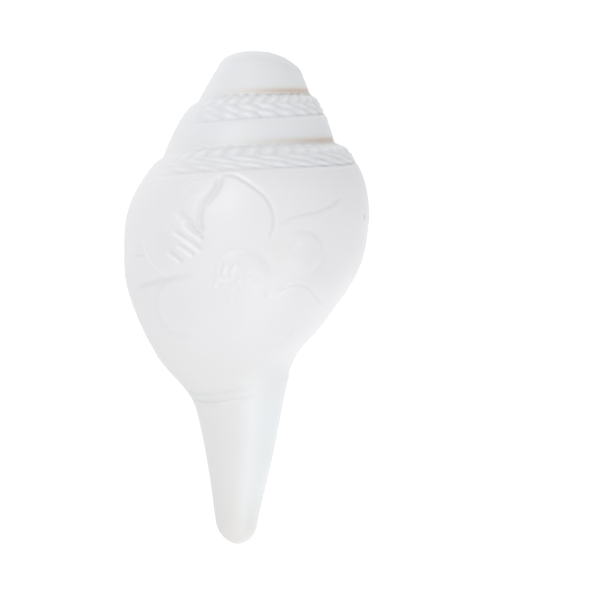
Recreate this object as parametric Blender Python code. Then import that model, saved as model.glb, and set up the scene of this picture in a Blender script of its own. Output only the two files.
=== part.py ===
"""A carved chank shell, ground white and polished, lying on its opening.

The shell is a logarithmic spiral: each turn is the last one enlarged about a
virtual apex. Every point of the outside is given by two numbers, the growth
angle (0 degrees at the lip, -360 one turn earlier) and the distance down the
axis from the virtual apex. The outside is one winding strip of rows, so that a
row follows the suture, and the hollow, the canal and the flat spots that it
rests on are cut from it.
"""

import bmesh
import bpy
import numpy as np

MM = 0.001

# Spiral, mm and degrees. Distances run down the axis from the virtual apex.
WHORL_RATIO = 1.61          # a turn is this many times as large as the one before
SUTURE_AT_LIP = 68.0        # the suture's distance where the lip meets it
LIP_ANGLE = 227.0           # the lip's direction: 0 is right, 90 up, 180 left
SUTURE_LEAN = 0.036         # the rows lean by this much of the sideways distance
TOP = 16.0                  # where the ground-off top starts
TOP_ROUNDING = 6.0          # height of the dome at the top
DOME_POWER = 0.38           # an exponent under a half makes the dome blunt
TIP = 221.0                 # the tail's end
TIP_ROUNDING = 8.0
END_SNAP = 1.15             # radians around an end past which a point lies on its middle

# One turn of the spire: (distance over the suture's distance, radius over distance)
SPIRE_PROFILE = (
    (1.000, 0.617), (1.045, 0.690), (1.100, 0.705), (1.220, 0.693), (1.420, 0.655),
    (1.610, 0.617),
)

# The spire is ground to a cone that fills its necks, with a little more on the left
GROUND_RADIUS, GROUND_RADIUS_SIDE = 4.8, -2.1
GROUND_SLOPE, GROUND_SLOPE_SIDE = 0.52, 0.03
GROUND_BLEND = 0.8          # how softly the cone meets the turns

# The body whorl's outline at three growth angles: (distance, radius) at the suture,
# shoulder, foot of the band, upper flank, widest place, lower flank, base, hollow
# above the tail, top, middle and end of the tail, and the tip
START_ANGLE, RIGHT_ANGLE, LEFT_ANGLE = -360.0, -227.0, -47.0
START_OUTLINE = (
    (42.2, 26.0), (44.4, 30.8), (50.4, 35.2), (58.0, 38.6), (68.0, 41.0), (84.0, 37.0),
    (100.0, 26.0), (114.0, 17.5), (133.0, 15.0), (177.0, 12.5), (208.0, 8.6), (221.0, 7.2),
)
RIGHT_OUTLINE = (
    (50.3, 31.0), (52.8, 37.2), (60.0, 42.2), (68.3, 45.7), (81.6, 47.5), (102.0, 44.2),
    (123.2, 31.8), (137.4, 21.2), (151.2, 17.6), (185.0, 12.8), (208.7, 8.6), (221.0, 7.2),
)
LEFT_OUTLINE = (
    (63.9, 39.4), (67.7, 43.2), (77.1, 49.0), (87.5, 52.8), (100.8, 53.6), (120.6, 50.8),
    (146.1, 37.3), (161.5, 22.6), (174.3, 17.6), (194.0, 12.8), (209.3, 9.8), (221.0, 7.4),
)
BASE = 7                    # the outline's point in the hollow above the tail

# Mouth
MOUTH_SWEEP = 55.0          # degrees past the lip over which the mouth's rim falls away
RIM_POWER = 3.0             # how fast the rim falls
LIP_ROUNDING = 5.0          # degrees before the lip over which its edge is rounded off
LIP_DROP = 1.6              # how far the lip's edge is rounded down
LIP_BLEND = 10.0            # distance below the suture over which the rounding starts
RIM_ROUNDED = 2.0 / 3.0     # share of the rim's rise below which it has no rounding

# Hollow and canal
WALL = 4.6
HOLLOW_START = -285.0
MOUTH_SECTIONS = (1.5, 12.0, 25.0, 38.0, 50.0)    # degrees past the lip
HOLLOW_BELOW_SUTURE = 6.0
HOLLOW_TO_BASE = 0.97       # the hollow ends at this share of the base's distance
MOUTH_CLEARANCE = 5.0       # how far past the rim the mouth's cut stands out
LEAST_HOLLOW = 2.0
COLUMELLA = 6.5             # the least radius of the core that the hollow winds around
INNER_CUT = 1.2             # depth of the hollow's inner side below the turn before
CANAL_ANGLE = 12.0          # degrees past the lip
CANAL_START = 140.0
CANAL_HALF_WIDTH = 3.4
CANAL_NARROWING = 0.35      # share of its width that the canal loses down to the tip
CANAL_FLOOR = 5.0           # the groove's bottom, from the axis
CANAL_OVER = 2.0            # how far the canal's cut stands out of the tail
CANAL_PAST_TIP = 4.0

# Carving
BAND_HEIGHT = 10.7          # from the suture down
BAND_EDGE = 1.0
BAND_RISE = 0.3
NOTCH_DEPTH = 1.2
BAND_STARTS = (24.0, 30.0)  # distances between which the bands fade in below the top
BAND_LAST_TURN = 0.7        # turns below the suture past which there is no band
BAND_FADE_AT_LIP = 25.0     # degrees
FLOWER_X, FLOWER_DOWN = -2.8, 113.5
DISC_RADIUS = 12.5
DISC_RISE = 1.2
DISC_EDGE = 2.5
PETAL_LENGTH = 30.0
PETAL_WIDTH = 15.0
PETAL_RISE = 1.3
PETAL_EDGE = 0.3            # share of a petal's reach over which it rises
PETAL_ANGLES = (8.0, 68.0, 125.0, 183.0, 240.0, 300.0)
RING_DOWN = (157.0, 161.5)
RING_DEPTH = 0.8
RING_WIDTH = 1.2
RING_FADE = 8.0             # height over the axis below which the rings fade out

# How the shell lies: tail down, rolled about its axis, and shifted to the origin
TAIL_DOWN = 14.96
ROLL = -7.02
SHIFT = (3.0, 113.87, 62.3)

# Grid
ROWS_PER_TURN = 12
ROW_CROWDING = 1.25         # rows crowd under each suture
COLUMNS = 58
COLUMN_CROWDING = 0.35      # columns crowd on the side that faces up
HOLLOW_SECTIONS = 21        # before the lip
HOLLOW_POINTS = 14          # on each side of a section
CANAL_SECTIONS, CANAL_POINTS = 10, 12


def smooth_step(x):
    """0 below 0, 1 above 1, and 3x^2 - 2x^3 between."""
    x = np.clip(x, 0.0, 1.0)
    return x * x * (3.0 - 2.0 * x)


def curve_through(x, knots_x, knots_y):
    """Smooth curve through knots: a cubic on each stretch, its slope at a knot that of
    the line between the knots on both sides."""
    count = len(knots_x)
    slopes = [(knots_y[1] - knots_y[0]) / (knots_x[1] - knots_x[0])]
    for k in range(1, count - 1):
        slopes.append((knots_y[k + 1] - knots_y[k - 1]) / (knots_x[k + 1] - knots_x[k - 1]))
    slopes.append((knots_y[-1] - knots_y[-2]) / (knots_x[-1] - knots_x[-2]))
    result = knots_y[0] + slopes[0] * (x - knots_x[0])
    for k in range(count - 1):
        width = knots_x[k + 1] - knots_x[k]
        t = (x - knots_x[k]) / width
        cubic = (
            (1 + 2 * t) * (1 - t) ** 2 * knots_y[k] + t * (1 - t) ** 2 * width * slopes[k]
            + t * t * (3 - 2 * t) * knots_y[k + 1] + t * t * (t - 1) * width * slopes[k + 1]
        )
        result = np.where(t >= 0.0, cubic, result)
    beyond = knots_y[-1] + slopes[-1] * (x - knots_x[-1])
    return np.where(x > knots_x[-1], beyond, result)


def suture(angle):
    """Distance of the body whorl's suture: the lip's times the ratio to the turns."""
    return SUTURE_AT_LIP * WHORL_RATIO ** (angle / 360.0)


def rounded_ends(distance):
    """Distances bent over both ends, and the factor on the radius there.

    Past the start of an end, what the distance runs on becomes an angle around a quarter
    ellipse: its sine goes down the axis, and its cosine is the factor.
    """
    top_start, tip_start = TOP + TOP_ROUNDING, TIP - TIP_ROUNDING
    top_angle = np.maximum(top_start - distance, 0.0) / TOP_ROUNDING
    tip_angle = np.maximum(distance - tip_start, 0.0) / TIP_ROUNDING
    top_angle = np.where(top_angle > END_SNAP, np.pi / 2, top_angle)
    tip_angle = np.where(tip_angle > END_SNAP, np.pi / 2, tip_angle)
    bent = np.clip(distance, top_start, tip_start)
    bent = bent - TOP_ROUNDING * np.sin(top_angle) + TIP_ROUNDING * np.sin(tip_angle)
    return bent, np.abs(np.cos(top_angle)) ** (2 * DOME_POWER) * np.abs(np.cos(tip_angle))


def body_outline(angle):
    """The outline's distances and radii at a growth angle: the logarithms of the three
    outlines, blended by the parabola through their three growth angles."""
    a, b, c = START_ANGLE, RIGHT_ANGLE, LEFT_ANGLE
    weights = (
        (angle - b) * (angle - c) / ((a - b) * (a - c)),
        (angle - a) * (angle - c) / ((b - a) * (b - c)),
        (angle - a) * (angle - b) / ((c - a) * (c - b)),
    )
    distances, radii = [], []
    for points in zip(START_OUTLINE, RIGHT_OUTLINE, LEFT_OUTLINE):
        distances.append(np.exp(sum(w * np.log(p[0]) for w, p in zip(weights, points))))
        radii.append(np.exp(sum(w * np.log(p[1]) for w, p in zip(weights, points))))
    distances[0] = suture(angle)
    radii[0] = SPIRE_PROFILE[0][1] * distances[0]
    return distances, radii


def body_radius(angle, distance):
    """Radius of the body whorl at a growth angle, -360 to 0."""
    distances, radii = body_outline(angle)
    return curve_through(distance, distances, radii)


def spire_radius(angle, distance):
    """Radius of the spire: the distance times the profile at its place in the turn, or
    the ground cone where that stands further out."""
    turns = np.log(distance / suture(angle)) / np.log(WHORL_RATIO)
    place = WHORL_RATIO ** (turns - np.floor(turns))
    profile = np.array(SPIRE_PROFILE)
    grown = distance * curve_through(place, profile[:, 0], profile[:, 1])
    side = np.cos(np.radians(LIP_ANGLE + angle))
    ground = GROUND_RADIUS + GROUND_RADIUS_SIDE * side
    ground = ground + (GROUND_SLOPE + GROUND_SLOPE_SIDE * side) * distance
    return (grown + ground + np.hypot(grown - ground, GROUND_BLEND)) / 2.0


def outer_radius(angle, distance):
    """The spire above the suture and the body whorl below it. Past the lip a rim falls
    from the lip to the turn before, as the third power of what is left of the sweep."""
    edge = np.zeros_like(distance)
    at_lip = np.where(
        distance < SUTURE_AT_LIP, spire_radius(edge, distance), body_radius(edge, distance)
    )
    left = np.clip(1.0 - (angle - START_ANGLE) / MOUTH_SWEEP, 0.0, 1.0) ** RIM_POWER
    rim = (at_lip - body_radius(edge + START_ANGLE, distance)) * left
    rim_top = (left - RIM_ROUNDED) / (1.0 - RIM_ROUNDED)
    rounded = smooth_step(1.0 + angle / LIP_ROUNDING) + smooth_step(rim_top)
    rounding = LIP_DROP * rounded * smooth_step((distance - SUTURE_AT_LIP) / LIP_BLEND)
    body = body_radius(angle, distance) + rim - rounding
    return np.where(distance < suture(angle), spire_radius(angle, distance), body)


def band_relief(angle, distance):
    """The plaited band under each suture, raised and notched, ending at the lip."""
    turns = np.log(distance / suture(angle)) / np.log(WHORL_RATIO)
    below = distance - suture(angle) * WHORL_RATIO ** np.floor(turns)
    inside = smooth_step(below / BAND_EDGE) * smooth_step((BAND_HEIGHT - below) / BAND_EDGE)
    notch = np.arange(distance.shape[1]) % 2
    first, full = BAND_STARTS
    fades_in = smooth_step((distance - first) / (full - first)) * (turns < BAND_LAST_TURN)
    near_lip = np.where(turns < 0.0, 1.0, smooth_step(-angle / BAND_FADE_AT_LIP))
    return inside * fades_in * near_lip * (BAND_RISE - NOTCH_DEPTH * notch[None, :])


def flower_relief(x, up, distance):
    """The flower on the side that faces up: a round disc, and petals that are raised
    ovals with their tips away from it, lower towards the disc."""
    across, down = x - FLOWER_X, distance - FLOWER_DOWN
    reach = np.hypot(across, down)
    disc = DISC_RISE * smooth_step((DISC_RADIUS - reach) / DISC_EDGE)
    petals = np.zeros_like(reach)
    for degrees in PETAL_ANGLES:
        turn = np.radians(degrees)
        along = across * np.sin(turn) - down * np.cos(turn)
        aside = across * np.cos(turn) + down * np.sin(turn)
        place = np.hypot((along - DISC_RADIUS - PETAL_LENGTH / 2) * 2 / PETAL_LENGTH,
                         aside / PETAL_WIDTH)
        petals = np.maximum(petals, PETAL_RISE * smooth_step((1.0 - place) / PETAL_EDGE))
    return np.where(up > 0.0, np.maximum(disc, petals), 0.0)


def ring_relief(up, distance):
    """Two shallow grooves around the top of the tail, on the side that faces up."""
    depth = sum(np.exp(-((distance - down) / RING_WIDTH) ** 2) for down in RING_DOWN)
    return -RING_DEPTH * depth * smooth_step(up / RING_FADE)


def place(x, along, up):
    """Local sideways, down-the-axis and up distances in mm to the frame in metres."""
    along = along + SUTURE_LEAN * x
    roll, pitch = np.radians(ROLL), np.radians(TAIL_DOWN)
    rolled_x = x * np.cos(roll) - up * np.sin(roll)
    rolled_up = x * np.sin(roll) + up * np.cos(roll)
    y = -along * np.cos(pitch) - rolled_up * np.sin(pitch)
    z = -along * np.sin(pitch) + rolled_up * np.cos(pitch)
    return np.stack([rolled_x + SHIFT[0], y + SHIFT[1], z + SHIFT[2]], axis=-1) * MM


def outside_grid():
    """Points of the outside, and the faces of the strip that winds down it.

    A column is a growth angle. A row is a helix at a fixed number of turns below the
    suture, so the end of a row is the start of the row one turn of rows further down.
    Rows past the top or the tip lie on its one point, where they are merged.
    """
    top_end = TOP - (np.pi / 2 - 1.0) * TOP_ROUNDING
    tip_end = TIP + (np.pi / 2 - 1.0) * TIP_ROUNDING
    top_turns = np.log(SUTURE_AT_LIP / top_end) / np.log(WHORL_RATIO)
    tip_turns = np.log(tip_end / SUTURE_AT_LIP) / np.log(WHORL_RATIO) + 1.0
    first, last = -int(np.ceil(top_turns)), int(np.ceil(tip_turns))
    row = np.arange((last - first) * ROWS_PER_TURN + 1)
    part = (row % ROWS_PER_TURN) / ROWS_PER_TURN
    turns = first + row // ROWS_PER_TURN + part ** ROW_CROWDING
    share = np.arange(COLUMNS) / COLUMNS
    facing_up = (90.0 - LIP_ANGLE + 360.0) / 360.0
    swing = np.sin(2 * np.pi * (share - facing_up)) + np.sin(2 * np.pi * facing_up)
    angle = START_ANGLE + 360.0 * (share - COLUMN_CROWDING / (2 * np.pi) * swing)
    turns, angle = np.meshgrid(turns, angle, indexing="ij")
    distance, factor = rounded_ends(SUTURE_AT_LIP * WHORL_RATIO ** (turns + angle / 360.0))
    radius = outer_radius(angle, distance) + band_relief(angle, distance)
    turned = np.radians(LIP_ANGLE + angle)
    x, up = radius * np.cos(turned), radius * np.sin(turned)
    radius = radius + flower_relief(x, up, distance) + ring_relief(up, distance)
    radius = radius * factor
    points = place(radius * np.cos(turned), distance, radius * np.sin(turned))

    index = np.arange(points.shape[0] * COLUMNS).reshape(-1, COLUMNS)
    shifted = np.concatenate([index[ROWS_PER_TURN:, 0], np.full(ROWS_PER_TURN, index[-1, 0])])
    index = np.column_stack([index, shifted])
    faces = np.stack([index[:-1, :-1], index[:-1, 1:], index[1:, 1:], index[1:, :-1]], -1)
    return points.reshape(-1, 3), faces.reshape(-1, 4)


def hollow_grid():
    """Points and faces of the hollow, a tube swept back from the mouth around the core.

    A section lies in the plane of its growth angle. Its outer side keeps the wall's
    thickness inside the outside, and past the lip it stands clear of it, so the mouth
    is open. Its inner side is the turn before, which shrinks with the spiral.
    """
    before_lip = np.linspace(HOLLOW_START, 0.0, HOLLOW_SECTIONS)
    angle = np.concatenate([before_lip, MOUTH_SECTIONS])
    side = np.linspace(0.0, np.pi, HOLLOW_POINTS + 1)
    around = np.concatenate([side[:-1], side + np.pi])[:-1]
    angle, around = np.meshgrid(angle, around, indexing="ij")
    past = angle > 0.0
    own = np.where(past, angle + START_ANGLE, angle)
    high = suture(angle) + HOLLOW_BELOW_SUTURE
    low = body_outline(np.minimum(angle, 0.0))[0][BASE] * HOLLOW_TO_BASE
    distance = high + (low - high) * (1.0 - np.cos(around)) / 2.0
    outer = outer_radius(own, distance) + np.where(past, MOUTH_CLEARANCE, -WALL)
    shrink = WHORL_RATIO ** (-np.minimum(angle, 0.0) / 360.0)
    earlier = body_radius(np.where(past, own, START_ANGLE), distance * shrink) / shrink
    inner = np.maximum(earlier - INNER_CUT, COLUMELLA)
    outer = np.maximum(outer, inner + LEAST_HOLLOW)
    swell = np.sqrt(np.abs(np.sin(around))) * np.sign(np.sin(around))
    radius = (outer + inner) / 2.0 + (outer - inner) / 2.0 * swell
    turned = np.radians(LIP_ANGLE + angle)
    points = place(radius * np.cos(turned), distance, radius * np.sin(turned))
    return tube(points)


def canal_grid():
    """Points and faces of the groove down the tail: ellipses across it, as deep as the
    canal's floor, from the mouth to past the tip."""
    down = np.linspace(CANAL_START, TIP + CANAL_PAST_TIP, CANAL_SECTIONS)
    around = np.linspace(0.0, 2 * np.pi, CANAL_POINTS + 1)[:-1]
    down, around = np.meshgrid(down, around, indexing="ij")
    at = np.full_like(down, CANAL_ANGLE + START_ANGLE)
    middle = outer_radius(at, np.minimum(down, TIP)) + CANAL_OVER
    narrow = 1.0 - CANAL_NARROWING * smooth_step((down - CANAL_START) / (TIP - CANAL_START))
    radial = middle + (middle - CANAL_FLOOR) * np.cos(around)
    aside = CANAL_HALF_WIDTH * narrow * np.sin(around)
    turned = np.radians(LIP_ANGLE + CANAL_ANGLE)
    x = radial * np.cos(turned) - aside * np.sin(turned)
    up = radial * np.sin(turned) + aside * np.cos(turned)
    return tube(place(x, down, up))


def tube(points):
    """Sections joined into a closed tube. Each end is filled by a ladder of faces between
    the section's two sides, which run down and back up in equal steps."""
    sections, around = points.shape[:2]
    index = np.arange(sections * around).reshape(sections, around)
    index = np.column_stack([index, index[:, 0]])
    faces = np.stack([index[:-1, :-1], index[:-1, 1:], index[1:, 1:], index[1:, :-1]], -1)
    faces = [tuple(face) for face in faces.reshape(-1, 4)]
    for step in range(around // 2):
        rung = (step, around - step, around - step - 1, step + 1)
        faces.append(tuple(dict.fromkeys(index[0, rung])))
        faces.append(tuple(dict.fromkeys(index[-1, rung[::-1]])))
    return points.reshape(-1, 3), faces


def mesh_object(name, points, faces):
    """A closed mesh object with its faces pointing out."""
    mesh = bpy.data.meshes.new(name)
    mesh.from_pydata([tuple(p) for p in points], [], [tuple(int(i) for i in f) for f in faces])
    work = bmesh.new()
    work.from_mesh(mesh)
    bmesh.ops.remove_doubles(work, verts=work.verts, dist=1e-5)
    if work.calc_volume(signed=True) < 0.0:
        bmesh.ops.reverse_faces(work, faces=work.faces)
    work.to_mesh(mesh)
    work.free()
    made = bpy.data.objects.new(name, mesh)
    bpy.context.collection.objects.link(made)
    return made


def cutter(target, name, points, faces):
    """A hidden solid, taken away from the target by a Boolean."""
    made = mesh_object(name, points, faces)
    made.hide_render = True
    made.display_type = "WIRE"
    cut = target.modifiers.new(name, "BOOLEAN")
    cut.operation = "DIFFERENCE"
    cut.solver = "EXACT"
    cut.object = made
    return made


def floor_block():
    """A block whose top is the surface that the shell lies on."""
    reach, depth = 0.2, 0.05
    corners = [(x, y, z) for z in (-depth, 0.0) for y in (-reach, reach) for x in (-reach, reach)]
    faces = [(0, 1, 3, 2), (4, 6, 7, 5), (0, 4, 5, 1), (2, 3, 7, 6), (0, 2, 6, 4), (1, 5, 7, 3)]
    return np.array(corners), faces


def shell_material():
    """Ground and polished white shell."""
    material = bpy.data.materials.new("polished_shell")
    material.use_nodes = True
    surface = material.node_tree.nodes["Principled BSDF"]
    surface.inputs["Base Color"].default_value = (0.84, 0.82, 0.80, 1.0)
    surface.inputs["Roughness"].default_value = 0.3
    surface.inputs["Metallic"].default_value = 0.0
    return material


def main():
    for old in list(bpy.data.objects):
        bpy.data.objects.remove(old, do_unlink=True)
    shell = mesh_object("shell", *outside_grid())
    cutter(shell, "hollow_cutter", *hollow_grid())
    cutter(shell, "canal_cutter", *canal_grid())
    cutter(shell, "floor_cutter", *floor_block())
    shell.data.materials.append(shell_material())
    shell.data.shade_smooth()


main()
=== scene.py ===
# %% [markdown]
# # A carved chank shell
#
# The object is one thing that grew in one piece: the heavy white shell of a sea snail, ground
# smooth, polished, and carved with two plaited bands, a lotus and a ring. It lies on its
# opening. A shell like this could be sculpted by hand, but its growth follows a short rule,
# so this notebook writes the rule down and lets numpy work out the surface.

import bmesh
import bpy
import numpy as np
from mathutils import Matrix, Vector


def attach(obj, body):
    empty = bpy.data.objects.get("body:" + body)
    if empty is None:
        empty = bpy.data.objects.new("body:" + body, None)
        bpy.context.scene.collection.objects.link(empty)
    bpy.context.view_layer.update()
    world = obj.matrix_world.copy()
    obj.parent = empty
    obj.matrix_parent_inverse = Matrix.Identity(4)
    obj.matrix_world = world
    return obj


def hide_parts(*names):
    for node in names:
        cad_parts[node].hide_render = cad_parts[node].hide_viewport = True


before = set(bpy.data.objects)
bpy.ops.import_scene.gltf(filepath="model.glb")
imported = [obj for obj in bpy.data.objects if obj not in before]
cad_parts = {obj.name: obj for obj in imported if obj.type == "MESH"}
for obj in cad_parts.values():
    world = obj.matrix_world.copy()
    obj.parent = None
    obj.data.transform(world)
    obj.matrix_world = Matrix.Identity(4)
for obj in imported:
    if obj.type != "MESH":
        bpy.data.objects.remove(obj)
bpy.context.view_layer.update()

# %% [markdown]
# ## The spiral
#
# A snail adds shell at the rim of its opening, and each turn is the last one enlarged about one
# fixed point, the virtual apex. Two numbers place any point of the outside: the growth angle,
# 0 at the lip and -360 one turn earlier, and the distance down the axis from the virtual apex.
# The measurements are the shell's own, in millimetres.

# %% Measurements of the spiral
MM = 0.001
WHORL_RATIO = 1.61
SUTURE_AT_LIP = 68.0
LIP_ANGLE = 227.0
SUTURE_LEAN = 0.036
TOP, TOP_ROUNDING, DOME_POWER = 16.0, 6.0, 0.38
TIP, TIP_ROUNDING = 221.0, 8.0
SPIRE_PROFILE = np.array((
    (1.000, 0.617), (1.045, 0.690), (1.100, 0.705), (1.220, 0.693), (1.420, 0.655),
    (1.610, 0.617),
))
GROUND_RADIUS, GROUND_RADIUS_SIDE = 4.8, -2.1
GROUND_SLOPE, GROUND_SLOPE_SIDE, GROUND_BLEND = 0.52, 0.03, 0.8
START_ANGLE, RIGHT_ANGLE, LEFT_ANGLE = -360.0, -227.0, -47.0
START_OUTLINE = (
    (42.2, 26.0), (44.4, 30.8), (50.4, 35.2), (58.0, 38.6), (68.0, 41.0), (84.0, 37.0),
    (100.0, 26.0), (114.0, 17.5), (133.0, 15.0), (177.0, 12.5), (208.0, 8.6), (221.0, 7.2),
)
RIGHT_OUTLINE = (
    (50.3, 31.0), (52.8, 37.2), (60.0, 42.2), (68.3, 45.7), (81.6, 47.5), (102.0, 44.2),
    (123.2, 31.8), (137.4, 21.2), (151.2, 17.6), (185.0, 12.8), (208.7, 8.6), (221.0, 7.2),
)
LEFT_OUTLINE = (
    (63.9, 39.4), (67.7, 43.2), (77.1, 49.0), (87.5, 52.8), (100.8, 53.6), (120.6, 50.8),
    (146.1, 37.3), (161.5, 22.6), (174.3, 17.6), (194.0, 12.8), (209.3, 9.8), (221.0, 7.4),
)
print("length along the axis, mm:", TIP - TOP)

# %% [markdown]
# ## The body and the spire
#
# The body whorl is the wide last turn. Its outline was measured at three growth angles, and any
# angle between gets a blend of the three. The turns above it make the spire: there one short
# profile repeats, enlarged turn by turn, and a ground cone cuts off what stood out of it. Both
# go round the axis, so all that is needed is a radius for any angle and distance.

# %% Curves and the outside's radius
def smooth_step(x):
    """0 below 0, 1 above 1, and 3x^2 - 2x^3 between."""
    x = np.clip(x, 0.0, 1.0)
    return x * x * (3.0 - 2.0 * x)


def curve_through(x, knots_x, knots_y):
    """A cubic on each stretch between knots, its slope at a knot that of the line between
    the knots on both sides; straight on past the last knot."""
    rise = [knots_y[1] - knots_y[0]] + [b - a for a, b in zip(knots_y, knots_y[2:])]
    run = [knots_x[1] - knots_x[0]] + [b - a for a, b in zip(knots_x, knots_x[2:])]
    slopes = [r / w for r, w in zip(rise, run)]
    slopes.append((knots_y[-1] - knots_y[-2]) / (knots_x[-1] - knots_x[-2]))
    result = knots_y[0] + slopes[0] * (x - knots_x[0])
    for k in range(len(knots_x) - 1):
        width = knots_x[k + 1] - knots_x[k]
        t = (x - knots_x[k]) / width
        cubic = (
            (1 + 2 * t) * (1 - t) ** 2 * knots_y[k] + t * (1 - t) ** 2 * width * slopes[k]
            + t * t * (3 - 2 * t) * knots_y[k + 1] + t * t * (t - 1) * width * slopes[k + 1]
        )
        result = np.where(t >= 0.0, cubic, result)
    return np.where(x > knots_x[-1], knots_y[-1] + slopes[-1] * (x - knots_x[-1]), result)


def suture(angle):
    """Distance of the body whorl's suture: the lip's, times the ratio to the turns."""
    return SUTURE_AT_LIP * WHORL_RATIO ** (angle / 360.0)


def body_outline(angle):
    """Distances and radii of the outline at a growth angle: the logarithms of the three
    outlines, blended by the parabola through their three growth angles."""
    a, b, c = START_ANGLE, RIGHT_ANGLE, LEFT_ANGLE
    weights = (
        (angle - b) * (angle - c) / ((a - b) * (a - c)),
        (angle - a) * (angle - c) / ((b - a) * (b - c)),
        (angle - a) * (angle - b) / ((c - a) * (c - b)),
    )
    distances, radii = [], []
    for points in zip(START_OUTLINE, RIGHT_OUTLINE, LEFT_OUTLINE):
        distances.append(np.exp(sum(w * np.log(p[0]) for w, p in zip(weights, points))))
        radii.append(np.exp(sum(w * np.log(p[1]) for w, p in zip(weights, points))))
    distances[0] = suture(angle)
    radii[0] = SPIRE_PROFILE[0, 1] * distances[0]
    return distances, radii


def body_radius(angle, distance):
    """Radius of the body whorl: the smooth curve through its outline."""
    return curve_through(distance, *body_outline(angle))


def turns_below(angle, distance):
    """Turns below the body whorl's suture: 0 on it, -1 on the suture above."""
    return np.log(distance / suture(angle)) / np.log(WHORL_RATIO)


def spire_radius(angle, distance):
    """Radius of the spire: the distance times the profile at its place in the turn, or the
    ground cone where that stands further out, a + b times the distance."""
    turns = turns_below(angle, distance)
    place = WHORL_RATIO ** (turns - np.floor(turns))
    grown = distance * curve_through(place, SPIRE_PROFILE[:, 0], SPIRE_PROFILE[:, 1])
    side = np.cos(np.radians(LIP_ANGLE + angle))
    ground = GROUND_RADIUS + GROUND_RADIUS_SIDE * side
    ground = ground + (GROUND_SLOPE + GROUND_SLOPE_SIDE * side) * distance
    return (grown + ground + np.hypot(grown - ground, GROUND_BLEND)) / 2.0


print("widest radius, mm:", round(float(body_radius(LEFT_ANGLE, np.linspace(80.0, 140.0)).max()), 1))

# %% [markdown]
# ## The lip and both ends
#
# At the lip the outside stops, and the turn before it lies 10 mm or more deeper. A rim falls
# from one to the other, steeply at first, and the hollow is cut through that rim later. The
# dome and the tail's tip are round. They could be pieces of their own, but it is simpler to
# let the distance run on around a quarter ellipse at each end.

# %% Lip and rounded ends
MOUTH_SWEEP, RIM_POWER = 55.0, 3.0
LIP_ROUNDING, LIP_DROP, LIP_DROP_REACH = 5.0, 1.6, 10.0


def outer_radius(angle, distance):
    """The spire above the suture and the body whorl below it. Past the lip a rim falls
    from the lip to the turn before, as the third power of what is left of the sweep."""
    edge = np.zeros_like(distance)
    at_lip = np.where(
        distance < SUTURE_AT_LIP, spire_radius(edge, distance), body_radius(edge, distance)
    )
    left = np.clip(1.0 - (angle - START_ANGLE) / MOUTH_SWEEP, 0.0, 1.0) ** RIM_POWER
    rim = (at_lip - body_radius(edge + START_ANGLE, distance)) * left
    before_lip = smooth_step(1.0 + angle / LIP_ROUNDING) + smooth_step(left * 3.0 - 2.0)
    rounding = LIP_DROP * before_lip * smooth_step((distance - SUTURE_AT_LIP) / LIP_DROP_REACH)
    body = body_radius(angle, distance) + rim - rounding
    return np.where(distance < suture(angle), spire_radius(angle, distance), body)


def rounded_ends(distance):
    """Distances bent over both ends, and the factor on the radius there: past the start of
    an end, what the distance runs on is an angle around a quarter ellipse."""
    top_start, tip_start = TOP + TOP_ROUNDING, TIP - TIP_ROUNDING
    top_angle = np.clip((top_start - distance) / TOP_ROUNDING, 0.0, np.pi / 2)
    tip_angle = np.clip((distance - tip_start) / TIP_ROUNDING, 0.0, np.pi / 2)
    bent = np.clip(distance, top_start, tip_start)
    bent = bent - TOP_ROUNDING * np.sin(top_angle) + TIP_ROUNDING * np.sin(tip_angle)
    return bent, np.abs(np.cos(top_angle)) ** (2 * DOME_POWER) * np.abs(np.cos(tip_angle))


rim_height = body_radius(0.0, 100.0) - body_radius(START_ANGLE, 100.0)
print("height of the rim 100 mm down the axis, mm:", round(float(rim_height), 1))

# %% [markdown]
# ## How it lies
#
# The shell touches its surface with the lip's edge, a spot under the last turn and the tail's
# tip, so its tail points down by about 15 degrees. The angles come from the solid's balance.

# %% Place in the frame
TAIL_DOWN, ROLL = np.radians(14.96), np.radians(-7.02)
SHIFT = (3.0, 113.87, 62.3)
TURN = np.array((
    (np.cos(ROLL), 0.0, -np.sin(ROLL)),
    (-np.sin(ROLL) * np.sin(TAIL_DOWN), -np.cos(TAIL_DOWN), -np.cos(ROLL) * np.sin(TAIL_DOWN)),
    (np.sin(ROLL) * np.cos(TAIL_DOWN), -np.sin(TAIL_DOWN), np.cos(ROLL) * np.cos(TAIL_DOWN)),
))


def place(x, along, up):
    """Sideways, down-the-axis and up distances in mm, leaned, turned and shifted to metres."""
    return (np.stack([x, along + SUTURE_LEAN * x, up], axis=-1) @ TURN.T + SHIFT) * MM


def unplace(points):
    """The reverse of place: metres in the frame to sideways, down-the-axis and up in mm."""
    local = (points / MM - SHIFT) @ np.linalg.inv(TURN).T
    return local[:, 0], local[:, 1] - SUTURE_LEAN * local[:, 0], local[:, 2]


print("the tail's tip in the frame, m:", place(0.0, TIP, 0.0).round(4))

# %% [markdown]
# ## Camera
#
# The picture looks straight at the carved side from about a metre, with the spire leaning
# 3 degrees to the right. The camera goes where that view is: on the line that stands upright
# on the shell's axis, over the point that the picture's middle shows.

# %% Camera
CAMERA_DISTANCE = 950.0
PICTURE_WIDTH = 250.0       # mm that the picture shows at the shell's axis
PICTURE_MIDDLE = (20.8, 118.2)
AXIS_LEANS = np.radians(3.16)


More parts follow.
